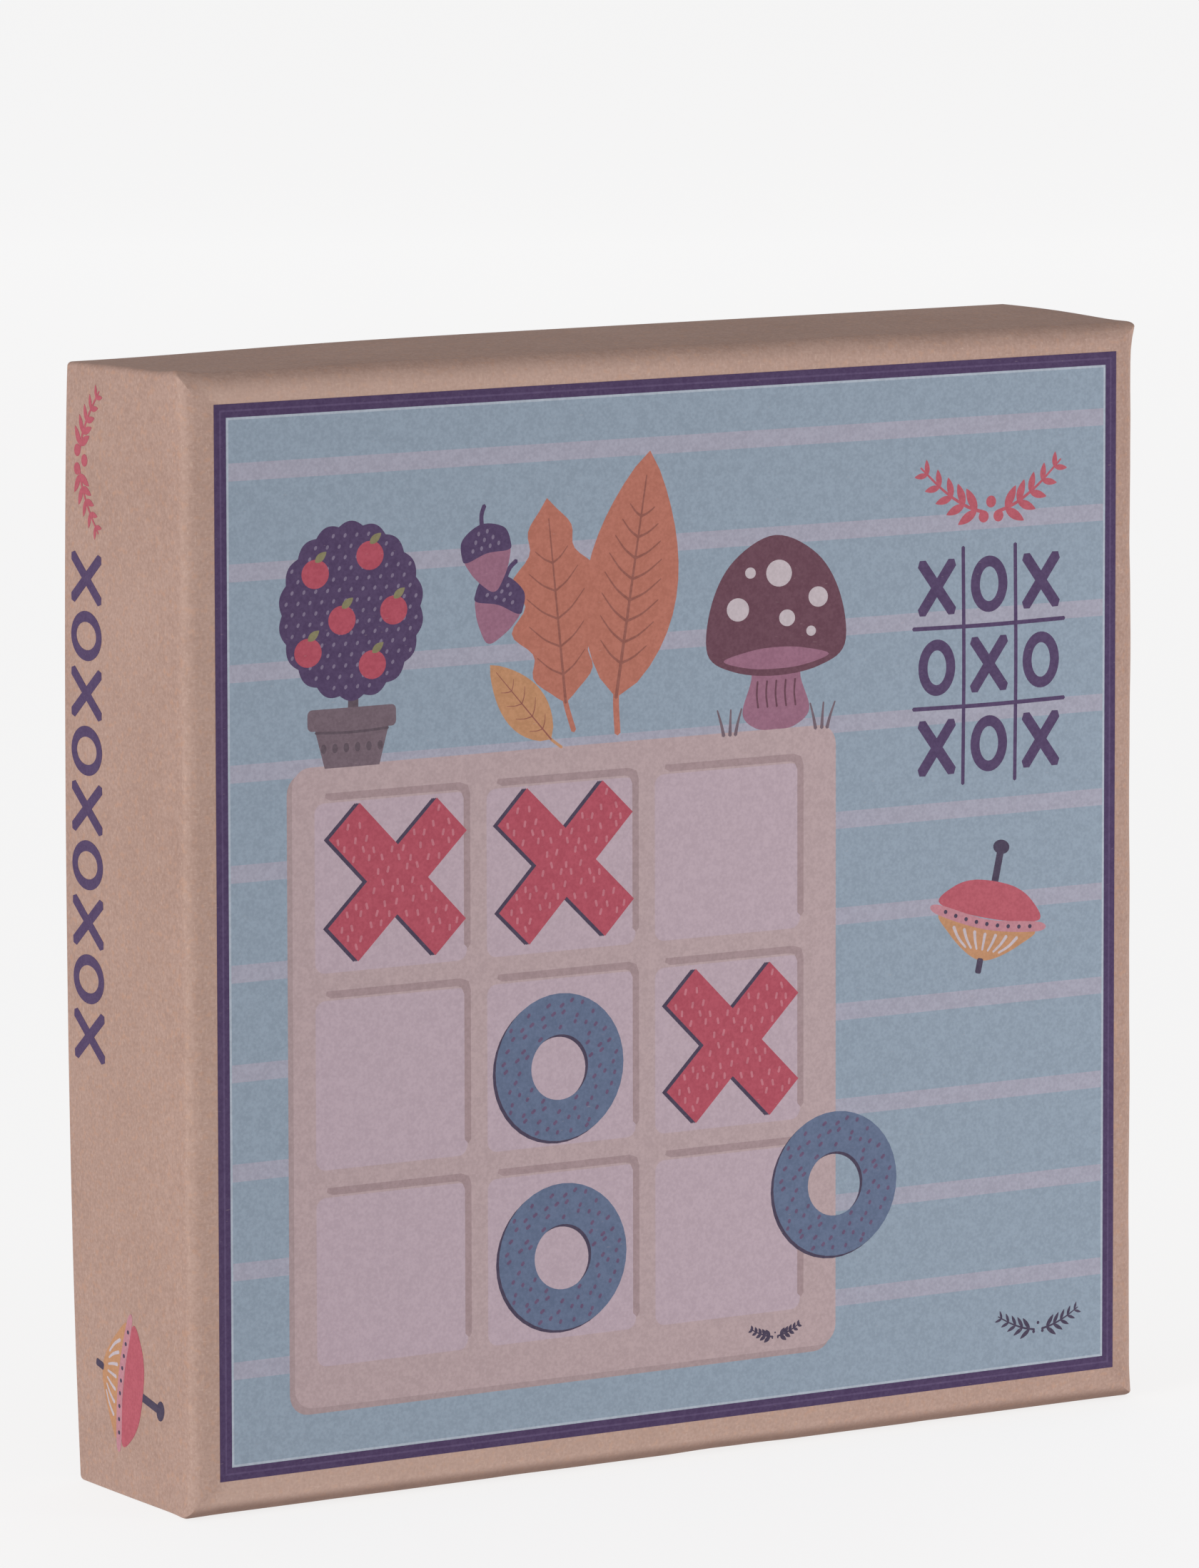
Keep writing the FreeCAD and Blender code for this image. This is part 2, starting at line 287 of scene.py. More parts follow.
def soft_light(name, azimuth, elevation, distance, size, power):
    """A square area light that looks at the middle of the box."""
    turned, raised = math.radians(azimuth), math.radians(elevation)
    way = Vector((
        math.sin(turned) * math.cos(raised),
        -math.cos(turned) * math.cos(raised),
        math.sin(raised),
    ))
    lamp = bpy.data.lights.new(name, "AREA")
    lamp.size = size
    lamp.energy = power
    light = bpy.data.objects.new(name, lamp)
    light.location = Vector((0, 0, box_height / 2)) + way * distance
    light.rotation_mode = "QUATERNION"
    light.rotation_quaternion = (-way).to_track_quat("-Z", "Y")
    bpy.context.scene.collection.objects.link(light)


soft_light("window_light", azimuth=-80, elevation=8, distance=2.4, size=1.2, power=30.5)
soft_light("side_light", azimuth=37, elevation=-2, distance=0.62, size=0.16, power=1.15)

# ---- Lid ----------------------------------------------------------------------------------------
# The full-depth lid is one piece of thick kraft board, scored and folded. Its front folds are wide
# and soft, the folds between two walls are tight, and the board stands out a little at the corners.

lid_board = 1.6 * millimetre
front_fold = 4.4 * millimetre
inner_fold = 1.4 * millimetre
wall_fold = 1.1 * millimetre
rim_round = 0.7 * millimetre
least_corner = 0.15 * millimetre
front_insets = (9, 7, 5.6, 4.8)
fold_steps = 10
wall_steps = 14
rim_steps = 4
inner_steps = 4
side_steps = 84
corner_steps = 5


def lid_perimeter(inset):
    """The lid's outline seen from the front, at this inset from its walls, corner by corner."""
    corner = max(wall_fold - inset, least_corner)
    half_width = box_width / 2 - inset - corner
    half_height = box_height / 2 - inset - corner
    centres = ((1, -1), (1, 1), (-1, 1), (-1, -1))
    points = []
    for number, (side, level) in enumerate(centres):
        start = math.pi / 2 * (number - 1)
        centre = Vector((side * half_width, level * half_height))
        for step in range(corner_steps + 1):
            angle = start + math.pi / 2 * step / corner_steps
            points.append(centre + corner * Vector((math.cos(angle), math.sin(angle))))
        after_side, after_level = centres[(number + 1) % 4]
        next_centre = Vector((after_side * half_width, after_level * half_height))
        out = Vector((math.cos(start + math.pi / 2), math.sin(start + math.pi / 2)))
        for step in range(1, side_steps):
            share = step / side_steps
            points.append(centre.lerp(next_centre, share) + corner * out)
    return points


def lid_profile():
    """Inset from the walls and depth behind the front face, from the front round to the inside."""
    stations = [(inset * millimetre, 0) for inset in front_insets]
    for step in range(fold_steps + 1):
        angle = math.pi / 2 * step / fold_steps
        inset = front_fold * (1 - math.sin(angle))
        stations.append((inset, front_fold * (1 - math.cos(angle))))
    wall_end = box_depth - rim_round
    for step in range(1, wall_steps + 1):
        share = step / wall_steps
        stations.append((0, front_fold + (wall_end - front_fold) * share))
    for step in range(1, rim_steps + 1):
        angle = math.pi / 2 * step / rim_steps
        stations.append((rim_round * (1 - math.cos(angle)), wall_end + rim_round * math.sin(angle)))
    stations.append((lid_board, box_depth))
    for share in (0.75, 0.5, 0.25):
        stations.append((lid_board, box_depth * share))
    for step in range(inner_steps + 1):
        angle = math.pi / 2 * step / inner_steps
        inset = lid_board + inner_fold * (1 - math.cos(angle))
        stations.append((inset, lid_board + inner_fold * (1 - math.sin(angle))))
    return stations


def settle(point, inset, depth):
    """How hand-folded board strays from the drawn shape. The inside of the lid keeps to it."""
    if min(inset, depth) >= lid_board - least_corner:
        return Vector((0, 0, 0))
    wall_reach, fold_reach, flare_reach = 4 * millimetre, 5 * millimetre, 4.5 * millimetre
    from_side = box_width / 2 - abs(point.x)
    from_level = box_height / 2 - abs(point.y)
    on_side = math.copysign(max(1 - from_side / wall_reach, 0), point.x)
    on_level = math.copysign(max(1 - from_level / wall_reach, 0), point.y)
    share_back = min(depth / box_depth, 1)
    share_up = point.y / box_height + 0.5
    near_front = math.exp(-((depth - front_fold / 2) / fold_reach) ** 2)
    near_edge = math.exp(-(inset / wall_reach) ** 2)

    # The strays are in millimetres. The folds ripple, the walls bow a little, and the board stands
    # out where three faces meet, less so at the right and least at the lower right.
    spot = Vector((point.x, depth, point.y))
    long_ripple, short_ripple = noise.noise(spot * 38), noise.noise(spot * 130)
    ripple = (0.30 * long_ripple + 0.10 * short_ripple) * near_front * near_edge
    bow = 0.22 * math.sin(math.pi * share_back) * (1 - near_front)
    flare = 0.85 * math.exp(-((from_side + from_level) / flare_reach) ** 2) * near_front
    lift = flare
    if point.x > 0:
        flare *= 0.35 + 0.65 * share_up
        lift = 0.25 * flare
    stray = Vector((on_side * (ripple + flare + bow), -0.6 * flare, on_level * (ripple + lift + bow)))

    # Storage has pressed this one out of square: the left wall bows, toes in and turns sharply on
    # to the front, the right wall leans out below, and the top has sunk at its left and front right.
    if point.x < 0:
        bulge = 0.65 * math.sin(math.pi * share_up)
        toe_in = 1.25 * (1 - share_up) ** 5 + 0.75 * share_up ** 8
        stray.x += abs(on_side) * share_back * (toe_in - bulge)
        on_wall = math.exp(-((from_side - inset) / wall_reach) ** 2)
        share_inset = min(inset / (front_insets[0] * millimetre), 1)
        stray.x -= 2.3 * math.sin(math.pi * share_inset) * on_wall * near_front
    else:
        stray.x += on_side * (0.65 + 1.05 * (1 - share_up)) * (1 - 0.6 * share_back)
    if point.y > 0:
        left_sink = 1.05 * math.exp(-((point.x + box_width / 2) / (45 * millimetre)) ** 2)
        right_sink = 0.80 * (point.x / box_width + 0.5) * math.exp(-(depth / (26 * millimetre)) ** 2)
        stray.z -= on_level * (left_sink * (0.35 + 0.65 * share_back) + right_sink)
    else:
        stray.z = max(stray.z, 0)
    return stray * millimetre


lid_form = bmesh.new()
loops = []
for inset, depth in lid_profile():
    loop = []
    for point in lid_perimeter(inset):
        spot = Vector((point.x, box_low.y + depth, point.y + box_height / 2))
        loop.append(lid_form.verts.new(spot + settle(point, inset, depth)))
    loops.append(loop)
count = len(loops[0])
for first, second in zip(loops, loops[1:]):
    for number in range(count):
        following = (number + 1) % count
        lid_form.faces.new((first[number], second[number], second[following], first[following]))
lid_form.faces.new(list(reversed(loops[0])))
lid_form.faces.new(loops[-1])
bmesh.ops.recalc_face_normals(lid_form, faces=lid_form.faces[:])
lid_mesh = bpy.data.meshes.new("lid_shell")
lid_form.to_mesh(lid_mesh)
for face in lid_mesh.polygons:
    face.use_smooth = True
lid_shell = new_piece("lid_shell", lid_mesh)


def kraft(name, dark, pale, worn_and_highlit, painted_light=None, painted_shade=None):
    """Kraft board: brown pulp with faint clouds, a fine grain, warm flecks and loose fibres.

    The third function says where it is rubbed pale, which on the lid's folds is also a painted
    highlight. The fourth says where light is painted on, and the fifth where shade is painted on.
    """
    worn_and_highlight_tone, painted_shade_tone = display(206, 178, 164), display(108, 82, 72)
    finish = Finish(name, roughness=0.86, specular=0.25)
    clouds = finish.cloud(22 * millimetre, 2)
    mottle = finish.cloud(2.4 * millimetre, 3)
    grain = finish.cloud(0.62 * millimetre, 2)
    fibre_size = 0.36 * millimetre
    flat_fibres = finish.cloud(fibre_size, 1, (4, 1, 1))
    upright_fibres = finish.cloud(fibre_size, 1, (1, 1, 4))
    level = 0.20 * clouds + 0.20 * mottle + 0.60 * grain
    colour = finish.mix(finish.ramp(level, 0.24, 0.76), dark, pale)
    flecks = finish.ramp(finish.cloud(1.3 * millimetre, 2), 0.52, 0.72)
    colour = finish.mix(flecks * 0.45, colour, display(184, 143, 120))
    fibres = finish.ramp(flat_fibres, 0.64, 0.74) + finish.ramp(upright_fibres, 0.64, 0.74)
    colour = finish.mix(fibres * 0.25, colour, display(204, 178, 164))
    threads = finish.ramp(flat_fibres, 0.34, 0.24) + finish.ramp(upright_fibres, 0.34, 0.24)
    colour = finish.mix(threads * 0.22, colour, display(132, 100, 84))
    # Paler where rubbed; on the lid's folds this is also a painted highlight.
    colour = finish.mix(worn_and_highlit(finish) * (0.05 + 0.24 * mottle), colour, worn_and_highlight_tone)
    if painted_light is not None:
        # A lighter front: painted light.
        colour = finish.mix(painted_light(finish) * 0.36, colour, worn_and_highlight_tone)
    if painted_shade is not None:
        # A darker fold underneath: painted shade.
        colour = finish.mix(painted_shade(finish) * (0.55 + 0.3 * mottle), colour, painted_shade_tone)
    height = 0.5 * grain + 0.3 * flat_fibres + 0.2 * upright_fibres
    pressed = finish.bump(height, 0.04 * millimetre, 0.5)
    felt = finish.bump(mottle, 0.08 * millimetre, 0.15, pressed)
    return finish.wear(Base_Color=colour, Roughness=0.78 + 0.16 * grain, Normal=felt)


def rubbed_and_highlit_folds(finish):
    """1 where the walls turn into the front, and 0 elsewhere: handling has rubbed the board pale there,
    and the paler colour is also a painted highlight on the folds.
    """
    turned = finish.facing("Y")
    return finish.ramp(turned, -0.05, -0.35) * finish.ramp(turned, -0.97, -0.70)


def painted_front_light(finish):
    """Painted light: 1 on the front above and below the printing, less towards the right, and 0 on the
    walls.
    """
    from_side = box_width / 2 - abs(finish.along("X"))
    from_level = box_height / 2 - abs(finish.along("Z") - box_height / 2)
    strip = 0.3 + 0.7 * finish.ramp(from_side - from_level, -2 * millimetre, 3 * millimetre)
    to_left = finish.ramp(finish.along("X"), box_high.x, box_low.x)
    return finish.ramp(finish.facing("Y"), -0.60, -0.98) * strip * (0.35 + 0.65 * to_left)


def painted_foot_shade(finish):
    """Painted shade: 1 where the front's lower fold turns under, and 0 elsewhere."""
    faces_down = finish.ramp(finish.facing("Z"), -0.25, -0.75)
    return faces_down * finish.ramp(finish.facing("Y"), -0.05, -0.35)


lid_dark = display(155, 126, 114)
lid_pale = display(179, 150, 138)
# The lid's kraft carries a painted highlight on its folds, painted light on its front and painted shade
# on its lower fold.
lid_kraft = kraft("lid_kraft", lid_dark, lid_pale, rubbed_and_highlit_folds, painted_front_light, painted_foot_shade)
lid_mesh.materials.append(lid_kraft)
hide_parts("lid")
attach(lid_shell, "lid")

# ---- Printed front ------------------------------------------------------------------------------
# The lid's front is printed in matte inks straight on the kraft: a dark border, a striped ground
# and a picture of the game board. It is laid out in millimetres from the border's top left corner,
# x to the right and y down. Where shapes overlap, the one that was drawn last is printed.

top_left = Vector((box_low.x + 6.2 * millimetre, box_high.z - 5.9 * millimetre))
top_right = Vector((box_high.x - 4.95 * millimetre, box_high.z - 5.9 * millimetre))
bottom_left = Vector((box_low.x + 5.8 * millimetre, box_low.z + 6.8 * millimetre))
bottom_right = Vector((box_high.x - 4.65 * millimetre, box_low.z + 6.7 * millimetre))
layout_side = 199
ink_lift = 0.05 * millimetre


def rectangle(left, top, right, bottom, corner=0.0):
    """A closed outline, whose corners may be rounded."""
    if corner == 0:
        return [(left, top), (right, top), (right, bottom), (left, bottom)]
    points = []
    middles = ((right - corner, top + corner), (right - corner, bottom - corner),
               (left + corner, bottom - corner), (left + corner, top + corner))
    steps = 6
    for number, (across, down) in enumerate(middles):
        for step in range(steps + 1):
            angle = math.pi / 2 * (number - 1 + step / steps)
            points.append((across + corner * math.cos(angle), down + corner * math.sin(angle)))
    return points


def turned_to(outline, across, down, angle):
    """An outline turned about its own origin and then moved to a place."""
    cosine, sine = math.cos(angle), math.sin(angle)
    return [(across + x * cosine - y * sine, down + x * sine + y * cosine) for x, y in outline]


def oval(across, down, half_width, half_height=None, turned=0.0, steps=40):
    """A circle, or an ellipse that may be turned."""
    half_height = half_height or half_width
    angles = [2 * math.pi * step / steps for step in range(steps)]
    upright = [(half_width * math.cos(angle), half_height * math.sin(angle)) for angle in angles]
    return turned_to(upright, across, down, turned)


def curve_through(points, closed, steps=7):
    """Points along a smooth curve through a few given ones."""
    count = len(points)
    made = []
    for number in range(count if closed else count - 1):
        if closed:
            near = [points[(number + shift) % count] for shift in (-1, 0, 1, 2)]
        else:
            near = [points[min(max(number + shift, 0), count - 1)] for shift in (-1, 0, 1, 2)]
        before, start, end, after = (Vector(point) for point in near)
        for step in range(steps):
            share = step / steps
            made.append(0.5 * (
                2 * start + (end - before) * share
                + (2 * before - 5 * start + 4 * end - after) * share ** 2
                + (3 * start - before - 3 * end + after) * share ** 3
            ))
    if not closed:
        made.append(Vector(points[-1]))
    return made


def blob(*points):
    """A smooth closed outline."""
    return [(point.x, point.y) for point in curve_through(points, closed=True)]


def pen(points, width, tip=1.0):
    """The outline of a smooth pen line of this width, which may thin out towards its end."""
    path = curve_through(points, closed=False)
    left, right = [], []
    for number, point in enumerate(path):
        ahead = path[min(number + 1, len(path) - 1)] - path[max(number - 1, 0)]
        side = Vector((-ahead.y, ahead.x)).normalized()
        share = number / (len(path) - 1)
        half = width / 2 * (1 + (tip - 1) * share)
        left.append(point + side * half)
        right.append(point - side * half)
    first, last = path[0] - path[1], path[-1] - path[-2]
    start = path[0] + first.normalized() * width * 0.35
    end = path[-1] + last.normalized() * width * 0.35 * tip
    return [(point.x, point.y) for point in [start] + left + [end] + right[::-1]]


def hole(outline):
    """An outline turned the other way round, which leaves its inside unprinted."""
    return outline[::-1]


def moved(outline, across, down):
    """An outline shifted to a place."""
    return [(x + across, y + down) for x, y in outline]


def mark_cross(across, down, span, arm, leaning=0.0):
    """An X: two bars along the diagonals, cut square."""
    half = (span * math.sqrt(2) - arm) / 2
    arm = arm / 2
    plus = [(half, -arm), (half, arm), (arm, arm), (arm, half), (-arm, half), (-arm, arm),
            (-half, arm), (-half, -arm), (-arm, -arm), (-arm, -half), (arm, -half), (arm, -arm)]
    return turned_to(plus, across, down, math.pi / 4 + leaning)


def is_inside(points, loops):
    """Which of the points lie inside the loops, by their winding."""
    winding = np.zeros(len(points), int)
    for loop in loops:
        start = np.array(loop, float)
        end = np.roll(start, -1, axis=0)
        for (x0, y0), (x1, y1) in zip(start, end):
            side = (x1 - x0) * (points[:, 1] - y0) - (points[:, 0] - x0) * (y1 - y0)
            winding += (y0 <= points[:, 1]) & (y1 > points[:, 1]) & (side > 0)
            winding -= (y0 > points[:, 1]) & (y1 <= points[:, 1]) & (side < 0)
    return winding != 0


class Printing:
    """Inked shapes in the order of printing, laid on the lid as one thin skin without overlaps."""

    def __init__(self):
        self.shapes = []

    def ink(self, ink, *loops):
        self.shapes.append((ink, loops))

    def lay(self, name, inks, place, into):
        """Cut the whole layout into triangles along every outline, and give each its top ink.

        The place function says where a point of the layout lies. The skin's rim is turned down by
        the into vector, so that it closes on the board.
        """
        spots, edges = [], []
        for ink, loops in self.shapes:
            for loop in loops:
                first = len(spots)
                spots.extend(Vector(point) for point in loop)
                count = len(loop)
                edges.extend((first + step, first + (step + 1) % count) for step in range(count))
        spots, _, faces, *_ = geometry.delaunay_2d_cdt(spots, edges, [], 0, 1e-4)
        flat = np.array([spot[:] for spot in spots])
        middles = np.array([flat[list(face)].mean(axis=0) for face in faces])
        top_ink = np.full(len(faces), -1)
        names = sorted({ink for ink, _ in self.shapes})
        for ink, loops in self.shapes:
            corners = np.concatenate([np.array(loop, float) for loop in loops])
            low, high = corners.min(axis=0), corners.max(axis=0)
            near = np.nonzero(((middles >= low) & (middles <= high)).all(axis=1))[0]
            top_ink[near[is_inside(middles[near], loops)]] = names.index(ink)
        form = bmesh.new()
        corners = [form.verts.new(place(x, y)) for x, y in flat]
        for face, ink in zip(faces, top_ink):
            if ink >= 0:
                made = form.faces.new([corners[number] for number in face])
                made.material_index = int(ink)
        loose = [corner for corner in form.verts if not corner.link_faces]
        bmesh.ops.delete(form, geom=loose, context="VERTS")
        rim = [edge for edge in form.edges if edge.is_boundary]
        turned_down = bmesh.ops.extrude_edge_only(form, edges=rim)["geom"]
        for corner in turned_down:
            if isinstance(corner, bmesh.types.BMVert):
                corner.co += into
        mesh = bpy.data.meshes.new(name)
        form.to_mesh(mesh)
        for ink in names:
            mesh.materials.append(inks[ink])
        return new_piece(name, mesh)


def printed(name, tone, pulp):
    """Matte ink on kraft: the pulp shows through it by this share, and a few fibres stay bare."""
    finish = Finish(name, roughness=0.8, specular=0.25)
    mottle = finish.cloud(2.2 * millimetre, 3)
    grain = finish.cloud(0.55 * millimetre, 2)
    fibres = finish.cloud(0.36 * millimetre, 1, (4, 1, 1))
    deep = tuple(level * (1 - pulp) for level in tone[:3]) + (1,)
    thin = tuple(level * (1 + pulp) + 0.012 for level in tone[:3]) + (1,)
    level = 0.4 * mottle + 0.6 * grain
    colour = finish.mix(finish.ramp(level, 0.32, 0.68), deep, thin)
    bare = finish.ramp(fibres, 0.70, 0.80)
    colour = finish.mix(bare * 0.16, colour, display(186, 168, 164))
    felt = finish.bump(0.6 * grain + 0.4 * fibres, 0.05 * millimetre, 0.5)
    return finish.wear(Base_Color=colour, Roughness=0.72 + 0.16 * grain, Normal=felt)


ink_tones = {
    "ground": (136, 150, 165),
    "stripe": (155, 154, 169),
    "border": (69, 51, 87),
    "border_line": (83, 66, 101),
    "pale_line": (163, 172, 184),
    "board": (172, 151, 153),
    "board_side": (158, 138, 140),
    "recess": (175, 156, 166),
    "shade": (154, 132, 135),
    "red": (166, 72, 88),
    "red_dash": (180, 108, 120),
    "blue": (91, 104, 131),
    "ring_dash": (96, 76, 106),
    "dark": (66, 56, 78),
    "orange": (171, 106, 90),
    "orange_vein": (138, 84, 74),
    "plum": (75, 57, 92),
    "plum_dot": (118, 106, 130),
    "taupe": (108, 91, 101),
    "taupe_line": (88, 74, 84),
    "yellow": (179, 131, 96),
    "mauve": (142, 98, 119),
    "maroon": (98, 62, 76),
    "white": (184, 172, 178),
    "coral": (171, 83, 96),
    "pink": (178, 124, 134),
    "leaf": (126, 120, 88),
}
usual_pulp = 0.065
pale_pulps = {"board": 0.06, "board_side": 0.06, "recess": 0.05, "shade": 0.06, "white": 0.05}
inks = {}
for name, tone in ink_tones.items():
    inks[name] = printed(f"ink_{name}", display(*tone), pale_pulps.get(name, usual_pulp))

front = Printing()
fine_place, fine_line = 1.1, 0.35
border_band, line_band = 2.5, 0.45
ground_start = border_band + line_band
border_steps = (("border", 0), ("border_line", fine_place), ("border", fine_place + fine_line),
                ("pale_line", border_band), ("ground", ground_start))
for ink, start in border_steps:
    front.ink(ink, rectangle(start, start, layout_side - start, layout_side - start))
stripe_half, first_stripe, stripe_pitch = 1.65, 12.5, 18.45
for number in range(10):
    middle = first_stripe + stripe_pitch * number
    band = (middle - stripe_half, layout_side - ground_start, middle + stripe_half)
    front.ink("stripe", rectangle(ground_start, *band))

# The picture of the game board, seen a little from its left: its side shows at the left and bottom.
front.ink("board_side", rectangle(14.75, 68.6, 133.6, 188.4, 4.0))
front.ink("board", rectangle(15.85, 67.75, 134.6, 187.3, 3.8))
recess = rectangle(0, 0, 32.4, 31.6, 2.0)
shade_stroke = [(2.4, -1.8), (31.0, -1.8), (32.7, -1.2), (33.2, 0.4), (33.2, 28.6), (32.6, 29.4),
                (31.8, 28.6), (31.8, 1.2), (31.2, -0.1), (30.2, -0.4), (3.4, -0.4), (2.2, -1.0)]
recess_pitch = 36.75
for row in range(3):
    for column in range(3):
        left, top = 20.6 + recess_pitch * column, 74.6 + recess_pitch * row
        front.ink("recess", moved(recess, left, top))
        front.ink("shade", moved(shade_stroke, left, top))


def inked_cross(sheet, across, down, leaning=0.0):
    """A red X with a dark side at its left and scattered pale dashes."""
    span, arm = 29.5, 9.2
    face = mark_cross(across, down, span, arm, leaning)
    for step in (0.35, 0.7, 1.05):
        sheet.ink("dark", moved(face, -step, 0.0))
    sheet.ink("red", face)
    for row in range(-7, 8):
        for column in range(-5, 6):
            x = column * 3.1 + (1.55 if row % 2 else 0) + 0.5 * math.sin(5 * row + 3 * column)
            y = row * 2.05 + 0.4 * math.cos(4 * row + 7 * column)
            reach = max(abs(x + y), abs(x - y)) / math.sqrt(2)
            offside = min(abs(x + y), abs(x - y)) / math.sqrt(2)
            if offside < arm / 2 - 0.9 and reach < (span * math.sqrt(2) - arm) / 2 - 0.9:
                lean = 0.14 * math.sin(9 * row + 5 * column)
                spot = [(across + x - lean, down + y - 0.5), (across + x + lean, down + y + 0.5)]
                sheet.ink("red_dash", pen(spot, 0.5))


def inked_ring(sheet, across, down):
    """A blue O with a dark side at its lower left and short leaning dashes."""
    outer, inner = 14.0, 6.2
    for step in (0.3, 0.6):
        side = (across - step, down + step * 0.7)
        sheet.ink("dark", oval(*side, outer), hole(oval(*side, inner)))
    sheet.ink("blue", oval(across, down, outer), hole(oval(across, down, inner)))
    for row in range(-7, 8):
        for column in range(-5, 6):
            x = column * 2.8 + (1.4 if row % 2 else 0) + 0.6 * math.sin(4 * row + 5 * column)
            y = row * 2.0 + 0.5 * math.cos(3 * row + 2 * column)
            if inner + 0.7 < math.hypot(x, y) < outer - 0.7:
                lean = 0.22 + 0.12 * math.sin(7 * row + column)
                spot = [(across + x + lean, down + y - 0.25), (across + x - lean, down + y + 0.25)]
                sheet.ink("ring_dash", pen(spot, 0.62))


inked_cross(front, 38.2, 89.9, 0.015)
inked_cross(front, 74.6, 89.6, -0.015)
inked_cross(front, 111.4, 126.9)
inked_ring(front, 73.1, 128.2)
inked_ring(front, 73.7, 164.3)
inked_ring(front, 134.5, 156.3)


def leaf_outline(base, tip, half_width, lobes=0, lobe_depth=0.0):
    """A leaf from its stem to its tip, the same on both sides, with a wavy rim if it has lobes."""
    base, tip = Vector(base), Vector(tip)
    across = Vector((base.y - tip.y, tip.x - base.x)).normalized()
    steps = 14 + 5 * lobes
    sides = ([], [])
    for step in range(1, steps):
        share = step / steps
        swell = half_width * math.sin(math.pi * share ** 0.85) ** 0.8
        swell *= 1 - lobe_depth * (0.5 + 0.5 * math.cos(2 * math.pi * lobes * share)) if lobes else 1
        middle = base.lerp(tip, share)
        sides[0].append(middle + across * swell)
        sides[1].append(middle - across * swell)
    points = [base] + sides[0] + [tip] + sides[1][::-1]
    return [(point.x, point.y) for point in points]


def inked_leaf(sheet, ink, vein_ink, base, tip, half_width, veins, lobes=0, lobe_depth=0.0):
    """A leaf with a midrib that runs out into its stem, and pairs of side veins."""
    base, tip = Vector(base), Vector(tip)
    sheet.ink(ink, leaf_outline(base, tip, half_width, lobes, lobe_depth))
    along = (tip - base).normalized()
    across = Vector((-along.y, along.x))
    length = (tip - base).length
    stem = base - along * length * 0.14 + across * length * 0.03
    sheet.ink(ink, pen([stem, base, base + along * length * 0.1], length * 0.028))
    sheet.ink(vein_ink, pen([base, base.lerp(tip, 0.5), base.lerp(tip, 0.9)], length * 0.016, 0.4))
    for number in range(veins):
        share = 0.14 + 0.68 * number / veins
        root = base.lerp(tip, share)
        reach = half_width * 0.62 * math.sin(math.pi * (share + 0.1) ** 0.85)
        for side in (-1, 1):
            end = root + across * side * reach + along * reach * 0.75
            bend = root + across * side * reach * 0.5 + along * reach * 0.28
            sheet.ink(vein_ink, pen([root, bend, end], length * 0.012, 0.4))


def spots_on(sheet, ink, outline, middle, pitch, rows, columns, size):
    """Small leaning dots in rows, where they fall well inside the outline."""
    for row in range(-rows, rows + 1):
        for column in range(-columns, columns + 1):
            x = middle[0] + column * pitch + (pitch / 2 if row % 2 else 0)
            y = middle[1] + row * pitch * 0.8
            ring = [(x, y), (x + 3 * size, y), (x - 3 * size, y), (x, y + 3 * size), (x, y - 3 * size)]
            if is_inside(np.array(ring), [outline]).all():
                sheet.ink(ink, oval(x, y, size, size * 1.5, 0.5, 8))


# A round garden tree with red fruit stands in a pot on the board's top edge.
crown_middle = (28.6, 39.4)
crown_half_width, crown_half_height = 15.2, 16.4
crown = []
for step in range(198):
    angle = 2 * math.pi * step / 198
    swell = 0.965 + 0.05 * abs(math.sin(9 * angle))
    crown.append((
        crown_middle[0] + crown_half_width * swell * math.cos(angle),
        crown_middle[1] + crown_half_height * swell * math.sin(angle),
    ))
front.ink("taupe_line", pen([(28.4, 52), (28.9, 56), (28.6, 60)], 2.2))
front.ink("plum", crown)
spots_on(front, "plum_dot", crown, crown_middle, 2.5, 9, 7, 0.3)
for x, y in ((21.0, 32.2), (32.6, 29.4), (26.6, 41.0), (37.6, 39.8), (19.4, 46.6), (33.0, 49.6)):
    front.ink("red", oval(x, y, 2.9, 2.7, steps=24))
    front.ink("leaf", leaf_outline((x, y - 2.2), (x + 2.4, y - 4.0), 0.75))
front.ink("taupe", [(20.6, 60.4), (36.6, 60.4), (34.4, 68.2), (22.8, 68.2)])
front.ink("taupe", rectangle(19.2, 57.2, 38.0, 61.2, 1.0))
front.ink("taupe_line", pen([(20.9, 61.5), (28.6, 61.8), (36.3, 61.5)], 0.5))
for number in range(6):
    x = 22.6 + 2.4 * number
    front.ink("taupe_line", oval(x, 64.6, 0.6, 0.9, steps=10))

# Autumn leaves: an oak leaf, a beech leaf and a small yellow one, with two acorns beside them.
inked_leaf(front, "orange", "orange_vein", (74.6, 59.6), (70.6, 21.0), 10.4, 5, lobes=4, lobe_depth=0.34)
inked_leaf(front, "orange", "orange_vein", (85.6, 59.4), (93.2, 13.4), 10.2, 8)
inked_leaf(front, "yellow", "orange_vein", (71.4, 66.2), (58.2, 51.4), 4.6, 4)


def inked_acorn(sheet, across, down, turned):
    """A mauve nut in a dark dotted cup, hanging from a short stalk."""
    def ink(name, loop):
        sheet.ink(name, turned_to(loop, across, down, turned))
    ink("mauve", blob((-4.4, 1.4), (4.4, 1.4), (4.2, 4.8), (1.6, 8.4), (0, 9.4), (-1.6, 8.4),
                      (-4.2, 4.8)))
    ink("plum", blob((-5.4, 1.4), (-4.6, -1.8), (0, -3.6), (4.6, -1.8), (5.4, 1.4), (4.6, 2.6),
                     (0, 2.0), (-4.6, 2.6)))
    ink("plum", pen([(0, -3.0), (0.4, -5.2), (1.4, -6.8)], 0.9))
    for row, count in enumerate((2, 3, 4)):
        for number in range(count):
            spot = (1.9 * (number - (count - 1) / 2), -2.0 + 1.4 * row)
            ink("plum_dot", oval(*spot, 0.32, 0.45, 0.4, 8))


inked_acorn(front, 60.6, 38.4, 0.30)
inked_acorn(front, 57.2, 28.6, -0.22)

